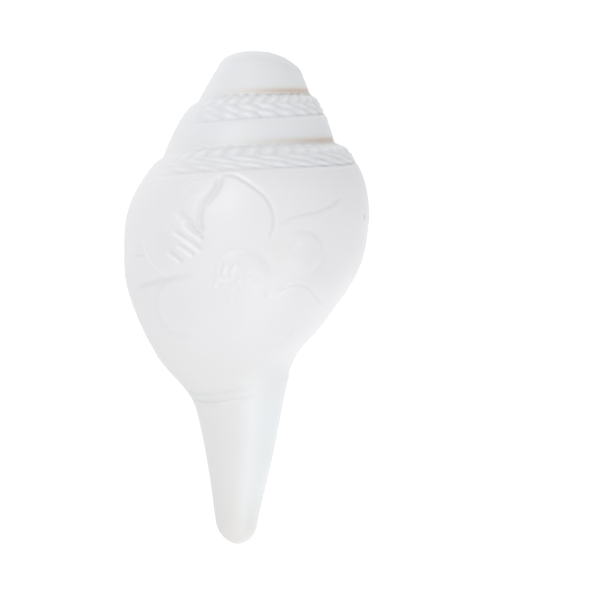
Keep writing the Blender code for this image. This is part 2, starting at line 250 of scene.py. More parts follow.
def make_camera():
    """A camera whose up direction is the axis turned by the lean."""
    right, down, up = (Vector(TURN[:, k]) for k in range(3))
    picture_up = -down * np.cos(AXIS_LEANS) - right * np.sin(AXIS_LEANS)
    picture_right = right * np.cos(AXIS_LEANS) - down * np.sin(AXIS_LEANS)
    data = bpy.data.cameras.new("camera")
    data.lens = data.sensor_width * CAMERA_DISTANCE / PICTURE_WIDTH
    camera = bpy.data.objects.new("camera", data)
    bpy.context.collection.objects.link(camera)
    middle = np.array((PICTURE_MIDDLE[0], PICTURE_MIDDLE[1], CAMERA_DISTANCE)) @ TURN.T
    turn = Matrix((picture_right, picture_up, up)).transposed().to_4x4()
    camera.matrix_world = Matrix.Translation(Vector((middle + SHIFT) * MM)) @ turn
    bpy.context.scene.camera = camera
    return camera


camera = make_camera()
print("camera at", [round(c, 3) for c in camera.location])

# %% [markdown]
# ## Carving
#
# Each carved form is a height in millimetres, added to the radius: plaits lie in their band,
# petals swell up beside a cut line, and lines are narrow valleys. On the real shell all of it
# is filed and chiselled into the ground surface, so nearly every height is below zero.

# %% Plaited bands
BAND_HEIGHT, BAND_WIDENING, BAND_MIDDLE = 10.4, 0.035, -155.0
BAND_HEIGHT_LIMITS = (8.0, 12.5)
BAND_EDGE = 0.06            # share of the band's height over which the plait sinks in
EDGE_LINE_DEPTH, EDGE_LINE_WIDTH = 0.4, 0.7
BAND_START, BAND_START_REACH = 27.5, 2.5    # how far down the suture is where the bands start
LAST_BAND_REACH = 25.0      # degrees before the lip over which the lower band runs out
# Growth angle where the plait is worn flattest, its reach, and what share is worn away there
BAND_WORN = (-48.0, 44.0, 0.93)
# Rows of leaves in each band: middle and half height as shares of the band, leaves in a turn,
# and how far a leaf leans over its neighbours, to the upper right where it is below zero
LOWER_BAND = ((0.25, 0.27, 36.0, -0.3), (0.56, 0.19, 24.0, 1.5), (0.80, 0.19, 27.0, 1.3))
UPPER_BAND = ((0.23, 0.25, 30.0, -0.9), (0.51, 0.21, 22.0, 0.9), (0.78, 0.22, 23.0, 0.7))
LEAF_DEPTH, LEAF_STAGGER, BETWEEN_LEAVES = 1.0, 0.37, -0.1
GROUND_OVER_LEAVES = 1.15   # the ground surface, where 1 is the middle of a leaf


def leaf_rows(rows, grown, place):
    """Rows of overlapping leaves, 1 on a leaf's middle and BETWEEN_LEAVES between them. Across
    a row and along it a leaf falls off as the 1.5th power of the distance to its middle."""
    height = np.full_like(place, BETWEEN_LEAVES)
    for k, (middle, half, count, lean) in enumerate(rows):
        across = (place - middle) / half
        along = count * grown + lean * across / 2 + LEAF_STAGGER * k
        along = 2.0 * (along - np.floor(along) - 0.5)
        height = np.maximum(height, 1.0 - np.hypot(across, along) ** 1.5)
    return height


def plait_and_wear(angle, distance):
    """A flat plait in the band under each suture, as a chisel leaves it: rows of leaves that
    lean over each other. The second result is what wear has left of it: nearly nothing on
    the left, and nothing where the bands start and end."""
    turns = turns_below(angle, distance)
    whorl = np.floor(turns)
    above = suture(angle) * WHORL_RATIO ** whorl
    tall = np.clip(BAND_HEIGHT + BAND_WIDENING * (angle - BAND_MIDDLE), *BAND_HEIGHT_LIMITS)
    place = (distance - above) / tall
    grown = angle / 360.0 + whorl
    leaves = np.where(grown > -1.0, leaf_rows(LOWER_BAND, grown, place),
                      leaf_rows(UPPER_BAND, grown, place))
    height = LEAF_DEPTH * (leaves - GROUND_OVER_LEAVES)
    inside = smooth_step(place / BAND_EDGE) * smooth_step((1.0 - place) / BAND_EDGE)
    edge_line = -EDGE_LINE_DEPTH * np.exp(-((distance - above - tall) / EDGE_LINE_WIDTH) ** 2)
    starts = smooth_step((above - BAND_START) / BAND_START_REACH)
    ends = np.where(whorl < 0, 1.0, smooth_step(-angle / LAST_BAND_REACH))
    worn = 1.0 - BAND_WORN[2] * np.exp(-((angle - BAND_WORN[0]) / BAND_WORN[1]) ** 4)
    return inside * height + edge_line, starts * ends * worn * (whorl < 1)


def band_relief(angle, distance):
    """Heights of the worn plait."""
    plait, left = plait_and_wear(angle, distance)
    return plait * left


around_once = np.linspace(-350.0, -60.0, 400)
plait_heights = band_relief(around_once, suture(around_once) + BAND_HEIGHT / 2)
print("plait along the lower band's middle, mm:", plait_heights.min().round(2), "to",
      plait_heights.max().round(2))

# %% [markdown]
# The lotus is drawn as a carver draws it, with lines. Each line runs through a few places on
# the shell, sideways from the axis and down it in mm. The height beside a line depends only on
# the distance to it and on which side a point is, so one function can cut a groove, a scoop or
# the sunk edge of a petal.

# %% Lines on the shell
def spline(points, steps=14):
    """A curve through points: the Catmull-Rom cubic between each two of them."""
    p = np.array(points, dtype=float)
    p = np.vstack([2 * p[0] - p[1], p, 2 * p[-1] - p[-2]])
    t = (np.arange(steps) / steps)[None, :, None]
    a, b, c, d = p[:-3, None], p[1:-2, None], p[2:-1, None], p[3:, None]
    cubic = b + t * (c - a) / 2 + t * t * (a - 2.5 * b + 2 * c - d / 2)
    cubic = cubic + t ** 3 * (1.5 * (b - c) + (d - a) / 2)
    return np.vstack([cubic.reshape(-1, 2), p[-2:-1]])


def off_line(x, down, points):
    """Signed distance to the line, more than 0 on the right of someone who walks along it,
    and the share of its length where the nearest point is."""
    line = spline(points)
    best, side, share = np.full(x.shape, 1e9), np.zeros(x.shape), np.zeros(x.shape)
    for k in range(len(line) - 1):
        run = line[k + 1] - line[k]
        to_x, to_down = x - line[k, 0], down - line[k, 1]
        t = np.clip((to_x * run[0] + to_down * run[1]) / (run @ run), 0.0, 1.0)
        off = np.hypot(to_x - t * run[0], to_down - t * run[1])
        nearer = off < best
        best = np.where(nearer, off, best)
        side = np.where(nearer, run[0] * to_down - run[1] * to_x, side)
        share = np.where(nearer, (k + t) / (len(line) - 1), share)
    return best * np.sign(side), share


def cut(x, down, points, depth, width, swell=0.0, reach=5.0, ends=0.12):
    """Height beside a line: a valley of this depth and width, and on its right a swelling
    that starts at the line and dies away over the reach. Both taper at the line's ends."""
    near = (
        (x > min(p[0] for p in points) - 3 * reach) & (x < max(p[0] for p in points) + 3 * reach)
        & (down > min(p[1] for p in points) - 3 * reach)
        & (down < max(p[1] for p in points) + 3 * reach)
    )
    off, share = off_line(x[near], down[near], points)
    taper = smooth_step(share / ends) * smooth_step((1.0 - share) / ends)
    valley = -depth * np.exp(-(off / width) ** 2)
    raised = swell * smooth_step(off / width) * np.exp(-np.maximum(off, 0.0) / reach)
    result = np.zeros_like(x)
    result[near] = (valley + raised) * taper
    return result


across_line = np.array([0.0, 0.5, 1.0, 2.0])
beside_line = cut(across_line, np.full(4, 5.0), ((0.0, 0.0), (0.0, 10.0)), 1.0, 1.0)
print("a groove 1 mm deep, at 0, 0.5, 1 and 2 mm from its line:", beside_line.round(2))

# %% [markdown]
# ## The lotus
#
# A big petal stands over a round, seeded disc, and a ribbon is cut deep beside it. Strokes
# shade the petal to the left, and leaves and smaller petals ring the disc. The drawing could be
# painted into an image, but points along each line stay sharp and are easy to move.

# %% Lines of the lotus
TOP_PETAL = ((-13.5, 71.0), (-9.0, 70.6), (-5.9, 71.4), (0.0, 74.6), (4.5, 77.8), (7.4, 81.6),
             (8.8, 85.8), (8.7, 90.2), (7.4, 96.0))
RIBBON = ((-12.8, 69.2), (-14.9, 76.6), (-17.9, 80.8), (-20.2, 83.8), (-21.1, 88.2),
          (-20.6, 91.4), (-19.4, 94.4))
BEHIND_RIBBON = ((-29.6, 80.5), (-28.0, 77.5), (-24.8, 74.4), (-18.1, 71.9))
STROKES = (
    ((-28.2, 90.7), (-21.8, 95.1), (-18.8, 97.3)),
    ((-32.2, 94.2), (-26.4, 97.3), (-18.4, 102.1)),
    ((-30.0, 99.6), (-25.6, 101.8), (-21.8, 104.0)),
    ((-33.6, 102.9), (-30.0, 104.8), (-26.6, 106.8)),
)
SCOOP = ((-31.0, 86.6), (-26.0, 90.0), (-20.0, 96.2))
LEFT_PETAL = ((-44.6, 97.0), (-43.4, 101.5), (-40.6, 107.0), (-36.9, 110.6), (-32.0, 113.4))
LEFT_LEAF = ((-47.6, 120.5), (-44.0, 118.0), (-39.0, 115.8), (-33.0, 113.9), (-26.0, 112.2),
             (-19.5, 110.8))
LOWER_LEFT_PETAL = ((-30.0, 113.8), (-34.6, 116.6), (-37.3, 120.4), (-37.8, 126.0),
                    (-35.6, 131.6), (-31.0, 135.2), (-25.0, 136.0), (-19.4, 134.6))
RIGHT_LEAF = ((10.2, 91.0), (14.0, 87.0), (19.1, 84.1), (24.8, 82.3), (29.9, 79.8),
              (33.4, 76.6), (35.2, 73.4))
RIGHT_PETAL = ((12.0, 93.0), (18.0, 90.2), (25.0, 90.6), (29.0, 95.0), (28.6, 101.5),
               (23.5, 107.0), (15.5, 109.4))
RIGHT_FOLD = ((15.6, 97.6), (17.6, 96.0), (20.6, 94.8))
LOWER_RIGHT_PETAL = ((10.6, 116.2), (14.6, 113.4), (19.9, 111.6), (24.2, 112.8), (28.4, 116.8),
                     (32.6, 120.4))
BOTTOM_LEFT_PETAL = ((-17.5, 128.0), (-17.0, 133.6), (-12.5, 137.6), (-6.4, 138.2), (-1.4, 134.4))
BOTTOM_RIGHT_PETAL = ((-0.4, 134.0), (5.0, 137.6), (11.8, 136.6), (16.8, 131.0), (18.4, 124.0))
LEFT_MARK = ((-47.6, 106.2), (-45.0, 105.6), (-42.4, 105.6))
print("places on the big petal's line:", len(TOP_PETAL), "and strokes:", len(STROKES))

# %% [markdown]
# The disc is the flower's middle: a low round rise under a shallow arc, with a few seeds that
# wear has left legible. A seed is a short bar, so its height too comes from the distance to a
# line.

# %% Disc and seeds
DISC_MIDDLE, DISC_RADIUS = (-2.4, 111.4), 11.6
DISC_RISE, DISC_SLOPE = 0.35, 4.5
ARC_DEPTH, ARC_OUTSIDE, ARC_WIDTH = 0.45, 0.6, 1.5
ARC_BELOW, ARC_FADE = 0.15, (-1.0, 8.0)     # what is left of the arc below, and where it fades
SEED_HALF_WIDTH, SEED_VALLEY, SEED_VALLEY_OFF, SEED_VALLEY_WIDTH = 1.0, 0.6, 1.55, 0.45
SEEDS_PAST_DISC = 3.0       # mm past the disc's edge where a seed is still felt
# Seeds: both ends of a bar, sideways and down, and how far it stands out
SEEDS = (
    ((-8.9, 106.4), (-9.6, 110.2), 0.36), ((-5.3, 106.1), (-6.6, 109.7), 0.36),
    ((-12.4, 108.2), (-12.8, 110.2), 0.22), ((-12.6, 112.5), (-6.9, 111.6), 0.30),
    ((-13.0, 114.6), (-13.2, 116.4), 0.22), ((-4.0, 111.8), (-3.6, 113.4), 0.25),
    ((-0.8, 110.8), (0.8, 110.8), 0.18), ((3.1, 112.0), (4.1, 112.4), 0.18),
    ((-3.4, 116.6), (-2.2, 116.6), 0.24), ((-6.9, 119.6), (-6.9, 120.9), 0.28),
    ((5.5, 116.5), (6.4, 116.8), 0.20),
)


def disc_relief(x, down):
    """A raised round disc under a broad shallow arc, with seeds: short bars that stand out
    from a narrow valley around each, highest at the upper left and worn away elsewhere."""
    across, below = x - DISC_MIDDLE[0], down - DISC_MIDDLE[1]
    reach = np.hypot(across, below)
    raised = DISC_RISE * smooth_step((DISC_RADIUS - reach) / DISC_SLOPE)
    arc = -ARC_DEPTH * np.exp(-((reach - DISC_RADIUS - ARC_OUTSIDE) / ARC_WIDTH) ** 2)
    above = smooth_step((ARC_FADE[0] - below) / ARC_FADE[1])
    height = raised + arc * (ARC_BELOW + (1.0 - ARC_BELOW) * above)
    on_disc = reach < DISC_RADIUS + SEEDS_PAST_DISC
    for start, end, rise in SEEDS:
        off, _ = off_line(x[on_disc], down[on_disc], (start, end))
        off = np.abs(off) / SEED_HALF_WIDTH
        valley = SEED_VALLEY * np.exp(-((off - SEED_VALLEY_OFF) / SEED_VALLEY_WIDTH) ** 2)
        height[on_disc] += rise * (np.exp(-off ** 4) - valley)
    return height


print("seeds on the disc:", len(SEEDS))

# %% [markdown]
# Between its lines a petal isn't flat: broad dips and swellings give it light and shade. Each
# line has its own depth and width, a swelling on its right with its reach, and the share of
# its length over which both ends taper.

# %% Lotus
LOTUS_CUTS = (
    (TOP_PETAL, 0.45, 0.8, 0.5, 4.0, 0.08), (RIBBON, 1.3, 1.4, 0.0, 5.0, 0.12),
    (SCOOP, 1.1, 1.9, 0.0, 5.0, 0.25), (BEHIND_RIBBON, 0.4, 0.8, 0.35, 3.0, 0.3),
    *((points, 0.8, 0.95, 0.35, 1.2, 0.2) for points in STROKES),
    (LEFT_PETAL, 0.5, 0.8, -0.4, 4.0, 0.2), (LEFT_LEAF, 1.0, 1.3, -0.3, 4.0, 0.25),
    (LOWER_LEFT_PETAL, 0.65, 1.0, -0.3, 4.0, 0.14), (RIGHT_LEAF, 0.6, 0.85, 0.4, 3.0, 0.2),
    (RIGHT_PETAL, 0.2, 1.6, 0.5, 5.0, 0.25), (RIGHT_FOLD, 0.5, 0.7, 0.0, 2.0, 0.3),
    (LOWER_RIGHT_PETAL, 0.32, 0.9, 0.4, 4.0, 0.2), (BOTTOM_LEFT_PETAL, 0.28, 1.2, 0.0, 5.0, 0.25),
    (BOTTOM_RIGHT_PETAL, 0.25, 1.2, 0.0, 5.0, 0.25), (LEFT_MARK, 0.5, 0.7, 0.0, 2.0, 0.3),
)
# Broad dips and swellings: middle, radius and height
BROAD_FORMS = (
    ((-33.0, 100.0), 7.5, -0.7), ((-27.5, 125.0), 8.5, -0.6), ((20.5, 98.5), 7.0, 0.6),
    ((-23.6, 81.6), 5.0, 0.5), ((-20.5, 99.0), 4.5, -0.5),
    ((-4.0, 86.0), 9.0, 0.5), ((20.0, 122.0), 8.0, 0.4), ((31.0, 104.0), 7.0, -0.5),
)


def lotus_relief(x, down):
    """Heights of the lotus at sideways and down-the-axis places in mm: the sum of its cuts,
    of its broad forms, which fall off with the third power of the distance, and of the disc."""
    height = np.zeros_like(x)
    for points, depth, width, swell, reach, ends in LOTUS_CUTS:
        height += cut(x, down, points, depth, width, swell, reach, ends)
    for (middle_x, middle_down), radius, rise in BROAD_FORMS:
        away = np.hypot(x - middle_x, down - middle_down) / radius
        height += rise * np.exp(-away ** 3)
    return height + disc_relief(x, down)


lotus_heights = lotus_relief(*np.meshgrid(np.linspace(-45.0, 35.0, 81), np.linspace(70.0, 138.0, 69)))
print("lotus, mm:", lotus_heights.min().round(2), "to", lotus_heights.max().round(2))

# %% [markdown]
# Two grooves ring the top of the tail. They are deep on the left and run out on the right,
# where the file was lifted. A short notch marks the edge where they would have met it. They
# are two more lines for the same function, and the notch is a dent around one place.

# %% Ring grooves
UPPER_RING = ((-24.0, 159.0), (-20.8, 159.7), (-15.0, 159.4), (-9.3, 158.3), (0.4, 155.3),
              (8.0, 153.2), (13.0, 152.0))
LOWER_RING = ((-24.0, 162.4), (-19.4, 163.0), (-12.1, 162.3), (-5.1, 160.7), (0.2, 159.2),
              (6.6, 156.8), (12.0, 154.8))
SCRATCHES = (((-5.0, 177.2), (-0.4, 176.8)), ((-4.4, 183.2), (-0.4, 182.9)))
NOTCH_DOWN, NOTCH_DEPTH, NOTCH_REACH = 146.9, 0.9, (14.0, 1.7)
RINGS_END, RINGS_FADE = 14.0, 26.0


def ring_relief(x, down):
    """Heights of the two ring grooves, which get shallower to the right, and of two faint
    scratches across the tail."""
    runs_out = smooth_step((RINGS_END - x) / RINGS_FADE)
    upper = cut(x, down, UPPER_RING, 0.75, 0.9, swell=-0.25, reach=3.0, ends=0.05)
    lower = cut(x, down, LOWER_RING, 0.75, 0.9, swell=0.3, reach=3.0, ends=0.05)
    scratches = sum(cut(x, down, points, 0.14, 0.5, reach=1.0, ends=0.3) for points in SCRATCHES)
    return (upper + lower) * runs_out + scratches


def right_notch(angle, distance):
    """The notch on the right: a dent around one growth angle and distance."""
    return -NOTCH_DEPTH * np.exp(-((angle - RIGHT_ANGLE) / NOTCH_REACH[0]) ** 2
                                 - ((distance - NOTCH_DOWN) / NOTCH_REACH[1]) ** 2)


print("rings at the left, mm:", ring_relief(np.full(2, -20.0), np.array([159.7, 163.0])).round(2))

# %% [markdown]
# ## The surface
#
# The outside is a grid of rings. Rings stand close where the carving is fine and wider apart
# down the tail, and columns crowd on the side that faces up. An even grid as fine would have
# many more points than anyone sees.

# %% Rings and columns
COLUMNS, COLUMN_CROWDING = 270, 0.5


def ring_distances():
    """Distances of the rings: steps of a chosen length on each stretch of the shell."""
    top_end = TOP + TOP_ROUNDING * (1.0 - np.pi / 2)
    tip_end = TIP + TIP_ROUNDING * (np.pi / 2 - 1.0)
    stretches = ((top_end, 34.0, 0.75), (34.0, 74.0, 0.48), (74.0, 150.0, 0.56),
                 (150.0, 166.0, 0.65), (166.0, tip_end, 1.4))
    parts = [np.arange(start, end, step) for start, end, step in stretches]
    return np.append(np.concatenate(parts), tip_end)


def column_angles():
    """Growth angles of the columns, from the lip's far side round to the lip."""
    share = np.arange(COLUMNS) / COLUMNS
    facing_up = (90.0 - LIP_ANGLE + 360.0) / 360.0
    swing = np.sin(2 * np.pi * (share - facing_up)) + np.sin(2 * np.pi * facing_up)
    return START_ANGLE + 360.0 * (share - COLUMN_CROWDING / (2 * np.pi) * swing)


print("rings:", len(ring_distances()), "and columns:", len(column_angles()))

# %% [markdown]
# The right of the dome was ground to a small flat. Then everything comes together in one
# radius: the growth, the flat, the bands, the notch, and on the side that faces up the lotus
# and the rings. The carving could be a texture that only moves light about, but real depth
# gives real shadows.

# %% The carved outside
FACET_TURN, FACET_SHARE, FACET_END, FACET_FADE = 28.0, 0.875, 27.0, 4.0
FACET_SIDE = 0.2            # cosine at least, so that points which face away stay as they are
CARVING_FADE = 6.0          # mm of height over which the lotus and the rings run out


def dome_facet(angle, distance, radius):
    """The flat that was ground on the right of the dome: no point stands further out in the
    facet's direction than its share of the radius. It runs out above the first band."""
    towards = np.maximum(np.cos(np.radians(LIP_ANGLE + angle - FACET_TURN)), FACET_SIDE)
    flat = np.minimum(radius, FACET_SHARE * radius / towards)
    return radius + (flat - radius) * smooth_step((FACET_END - distance) / FACET_FADE)


def carved_radius(angle, distance):
    """The outside's radius with the carving on it. The lotus and the rings are on the side
    that faces up, and run out towards its edges."""
    radius = dome_facet(angle, distance, outer_radius(angle, distance))
    radius = radius + band_relief(angle, distance) + right_notch(angle, distance)
    turned = np.radians(LIP_ANGLE + angle)
    x, up = radius * np.cos(turned), radius * np.sin(turned)
    seen = up > 0.0
    relief = np.zeros_like(radius)
    relief[seen] = lotus_relief(x[seen], distance[seen]) + ring_relief(x[seen], distance[seen])
    return radius + relief * smooth_step(up / CARVING_FADE)


def outside_grid():
    """Points and faces of the outside: rings of columns, with the first and the last ring
    drawn together to one point each."""
    distance, angle = np.meshgrid(ring_distances(), column_angles(), indexing="ij")
    distance, factor = rounded_ends(distance)
    radius = carved_radius(angle, distance) * factor
    turned = np.radians(LIP_ANGLE + angle)
    points = place(radius * np.cos(turned), distance, radius * np.sin(turned))
    rings = points.shape[0]
    index = np.arange(rings * COLUMNS).reshape(rings, COLUMNS)
    index[0], index[-1] = index[0, 0], index[-1, 0]
    index = np.column_stack([index, index[:, 0]])
    corners = np.stack([index[:-1, :-1], index[:-1, 1:], index[1:, 1:], index[1:, :-1]], -1)
    return points.reshape(-1, 3), corners.reshape(-1, 4)


bare = outer_radius(np.array([LEFT_ANGLE]), np.array([100.0]))
carved = carved_radius(np.array([LEFT_ANGLE]), np.array([100.0]))
print("radius on the left, bare and carved, mm:", bare.round(2), carved.round(2))

# %% [markdown]
# ## The hollow
#
# The hollow is a tube swept back from the mouth around the core, as the animal's body lay. It
# keeps the wall's thickness to the outside, and its inner side is the turn before, with the
# core's three folds standing out of it. It is made here as a solid of its own and cut out
# later, so nothing has to be fitted where it meets the outside.

# %% The hollow
WALL = 4.6
HOLLOW_START, HOLLOW_END, FIRST_PAST_LIP = -285.0, 50.0, 1.5
SECTIONS_INSIDE, SECTIONS_PAST_LIP, SIDE_POINTS = 100, 20, 60
OVER_SUTURE = 6.0           # mm by which a section starts past its suture
BASE, BASE_SHARE = 7, 0.97  # it ends at this share of the distance of that outline point
CLEAR_PAST_LIP, LEAST_THICKNESS = 5.0, 2.0
COLUMELLA, INNER_CUT, RISE_PAST_LIP = 6.5, 1.2, 1.5
FOLDS_DOWN, FOLD_HEIGHT, FOLD_HALF_WIDTH, FOLDS_PAST_LIP = (99.0, 107.0, 114.5), 1.7, 2.0, 25.0


def tube(points):
    """Sections joined into a closed tube. Each end is filled by a ladder of faces between
    the section's two sides, which run down and back up in equal steps."""
    sections, around = points.shape[:2]
    index = np.arange(sections * around).reshape(sections, around)
    index = np.column_stack([index, index[:, 0]])
    faces = np.stack([index[:-1, :-1], index[:-1, 1:], index[1:, 1:], index[1:, :-1]], -1)
    rungs = np.arange(around // 2)
    ladder = np.stack([rungs, around - rungs, around - rungs - 1, rungs + 1], -1)
    ends = [index[0][ladder], index[-1][ladder[:, ::-1]]]
    return points.reshape(-1, 3), np.concatenate([faces.reshape(-1, 4)] + ends)


def hollow_grid():
    """The hollow: sections in the plane of a growth angle, from deep in the shell to past
    the lip. The outer side keeps the wall inside the outside, and past the lip it stands
    clear of it. The inner side is the turn before, shrunk with the spiral, and the core's
    three folds stand out from it as ridges. Past the lip it rises out of that turn."""
    angle = np.concatenate([np.linspace(HOLLOW_START, 0.0, SECTIONS_INSIDE),
                            np.linspace(FIRST_PAST_LIP, HOLLOW_END, SECTIONS_PAST_LIP)])
    side = np.linspace(0.0, np.pi, SIDE_POINTS + 1)
    around = np.concatenate([side[:-1], side + np.pi])[:-1]
    angle, around = np.meshgrid(angle, around, indexing="ij")
    past = angle > 0.0
    own = np.where(past, angle + START_ANGLE, angle)
    high = suture(angle) + OVER_SUTURE
    low = body_outline(np.minimum(angle, 0.0))[0][BASE] * BASE_SHARE
    distance = high + (low - high) * (1.0 - np.cos(around)) / 2.0
    outer = outer_radius(own, distance) + np.where(past, CLEAR_PAST_LIP, -WALL)
    shrink = WHORL_RATIO ** (-np.minimum(angle, 0.0) / 360.0)
    earlier = body_radius(np.where(past, own, START_ANGLE), distance * shrink) / shrink
    folds = sum(np.exp(-((distance * shrink - at) / FOLD_HALF_WIDTH) ** 2) for at in FOLDS_DOWN)
    folds = folds * (1.0 - smooth_step(angle / FOLDS_PAST_LIP))
    deep = INNER_CUT * (1.0 - RISE_PAST_LIP * smooth_step(angle / HOLLOW_END))
    inner = np.maximum(earlier - deep, COLUMELLA) + FOLD_HEIGHT * folds / shrink
    outer = np.maximum(outer, inner + LEAST_THICKNESS)
    swell = np.sqrt(np.abs(np.sin(around))) * np.sign(np.sin(around))
    radius = (outer + inner) / 2.0 + (outer - inner) / 2.0 * swell
    turned = np.radians(LIP_ANGLE + angle)
    return tube(place(radius * np.cos(turned), distance, radius * np.sin(turned)))


print("points of the hollow:", len(hollow_grid()[0]))

# %% [markdown]
# The canal is the groove down the tail, through which the animal drew water. It is cut the
# same way, by a row of ellipses across the tail that reach down to the canal's floor and start
# in a shallow point.

# %% The canal
CANAL_ANGLE, CANAL_START, CANAL_POINT = 12.0, 140.0, 16.0
CANAL_HALF_WIDTH, CANAL_FLOOR, CANAL_NARROWING = 3.4, 5.0, 0.35
CANAL_OVER, CANAL_PAST_TIP = 2.0, 4.0
POINT_WIDTH, POINT_DEPTH = 0.1, 0.25        # shares of the width and depth where it starts
CANAL_SECTIONS, CANAL_AROUND = 60, 40


def canal_grid():
    """The groove down the tail: ellipses across it, down to the canal's floor. It starts
    in a shallow point."""
    down = np.linspace(CANAL_START, TIP + CANAL_PAST_TIP, CANAL_SECTIONS)
    around = np.linspace(0.0, 2 * np.pi, CANAL_AROUND + 1)[:-1]
    down, around = np.meshgrid(down, around, indexing="ij")
    at = np.full_like(down, CANAL_ANGLE + START_ANGLE)
    middle = outer_radius(at, np.minimum(down, TIP)) + CANAL_OVER
    opens = smooth_step((down - CANAL_START) / CANAL_POINT)
    narrow = 1.0 - CANAL_NARROWING * smooth_step((down - CANAL_START) / (TIP - CANAL_START))
    narrow = narrow * (POINT_WIDTH + (1.0 - POINT_WIDTH) * opens)
    depth = POINT_DEPTH + (1.0 - POINT_DEPTH) * opens
    radial = middle + (middle - CANAL_FLOOR) * depth * np.cos(around)
    aside = CANAL_HALF_WIDTH * narrow * np.sin(around)
    turned = np.radians(LIP_ANGLE + CANAL_ANGLE)
    x = radial * np.cos(turned) - aside * np.sin(turned)
    up = radial * np.sin(turned) + aside * np.cos(turned)
    return tube(place(x, down, up))


print("points of the canal:", len(canal_grid()[0]))

# %% [markdown]
# ## Cut the shell
#
# The hollow, the canal and the flat surface below are taken away from the outside. That could
# be modelled face by face, but an exact Boolean does it from the formulas alone. Where surfaces
# nearly meet, the Boolean leaves a few thin faces back to back, and these are deleted.

# %% Closed meshes
MERGE = 1e-6                # metres: points nearer than this are one
BLOCK_HALF, BLOCK_DEPTH = 0.2, 0.05


def block_below():
    """A block whose top is the surface that the shell lies on."""
    sides = (-BLOCK_HALF, BLOCK_HALF)
    corners = np.array([(x, y, z) for z in (-BLOCK_DEPTH, 0.0) for y in sides for x in sides])
    faces = np.array([(0, 1, 3, 2), (4, 6, 7, 5), (0, 4, 5, 1), (2, 3, 7, 6), (0, 2, 6, 4),
                      (1, 5, 7, 3)])
    return corners, faces


def closed_mesh(name, points, faces):
    """A mesh with its faces pointing out, and its doubled points merged."""
    mesh = bpy.data.meshes.new(name)
    mesh.from_pydata(points.tolist(), [], faces.tolist())
    work = bmesh.new()
    work.from_mesh(mesh)
    bmesh.ops.remove_doubles(work, verts=work.verts, dist=MERGE)
    if work.calc_volume(signed=True) < 0.0:
        bmesh.ops.reverse_faces(work, faces=work.faces)
    work.to_mesh(mesh)
    work.free()
    made = bpy.data.objects.new(name, mesh)
    bpy.context.collection.objects.link(made)
    return made


def without_slivers(mesh):
    """Merges doubled points, and deletes faces that lie back to back on the same points."""
    work = bmesh.new()
    work.from_mesh(mesh)
    bmesh.ops.triangulate(work, faces=work.faces)
    bmesh.ops.remove_doubles(work, verts=work.verts, dist=MERGE)
    on_points = {}
    for face in work.faces:
        on_points.setdefault(frozenset(v.index for v in face.verts), []).append(face)
    doubled = [face for faces in on_points.values() if len(faces) > 1 for face in faces]
    bmesh.ops.delete(work, geom=doubled, context="FACES")
    work.to_mesh(mesh)
    work.free()
    print("faces back to back, deleted:", len(doubled))


print("the block's corners:", len(block_below()[0]))

# %% Cut and make the shell
def cut_shell():
    """The outside with the hollow, the canal and the flat spots cut away, as one mesh."""
    blank = closed_mesh("blank", *outside_grid())
    cutters = [
        closed_mesh("hollow", *hollow_grid()), closed_mesh("canal", *canal_grid()),
        closed_mesh("floor_block", *block_below()),
    ]
    for cutter in cutters:
        taken = blank.modifiers.new(cutter.name, "BOOLEAN")
        taken.operation, taken.solver, taken.object = "DIFFERENCE", "EXACT", cutter
    view = bpy.context.evaluated_depsgraph_get()
    mesh = bpy.data.meshes.new_from_object(blank.evaluated_get(view))
    for old in [blank] + cutters:
        bpy.data.objects.remove(old, do_unlink=True)
    without_slivers(mesh)
    shell = bpy.data.objects.new("carved_shell", mesh)
    bpy.context.collection.objects.link(shell)
    mesh.shade_smooth()
    return shell


shell = cut_shell()
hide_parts("shell")
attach(shell, "root")
shell.data.calc_loop_triangles()
print("triangles:", len(shell.data.loop_triangles))

# %% [markdown]
# ## Floor
#
# The floor is a stage for the picture and no part of the shell. A plain one would go dark under
# the shell, so this one glows a little, and the shell's shadow on it stays soft.

# %% Floor
WHITE = (1.0, 1.0, 1.0, 1.0)
FLOOR_HALF, FLOOR_ROUGHNESS = 3.0, 0.9
FLOOR_GLOW, FLOOR_GREY = 0.78, (0.3, 0.3, 0.3, 1.0)


def make_floor():
    """A wide pale floor, square around the origin."""
    sides = (-FLOOR_HALF, FLOOR_HALF)
    mesh = bpy.data.meshes.new("floor")
    mesh.from_pydata([(x, y, 0.0) for y in sides for x in sides], [], [(0, 1, 3, 2)])
    floor = bpy.data.objects.new("floor", mesh)
    bpy.context.collection.objects.link(floor)
    paint = bpy.data.materials.new("floor")
    paint.use_nodes = True
    surface = paint.node_tree.nodes["Principled BSDF"]
    surface.inputs["Base Color"].default_value = FLOOR_GREY
    surface.inputs["Roughness"].default_value = FLOOR_ROUGHNESS
    surface.inputs["Emission Color"].default_value = WHITE
    surface.inputs["Emission Strength"].default_value = FLOOR_GLOW
    mesh.materials.append(paint)
    return floor


floor = make_floor()
print("floor's width, m:", round(floor.dimensions.x, 1))

# %% [markdown]
# ## Light
#
# Wide, soft light suits a polished white thing: hard lamps would leave small bright spots, and
# no lamp at all would leave the carving flat. One square lamp shines from the upper left, a
# weaker one from the lower right, and a dim white world fills the shadows.

# %% Light
# Lamps: name, sideways, down and up in mm along the picture's own directions, and watts
LAMPS = (("upper_left", -500.0, -450.0, 900.0, 5.6), ("lower_right", 420.0, 850.0, 720.0, 3.7))
LAMP_SIZE, LAMP_AIM = 0.7, (0.0, 0.0, 0.04)
WORLD_STRENGTH = 0.50


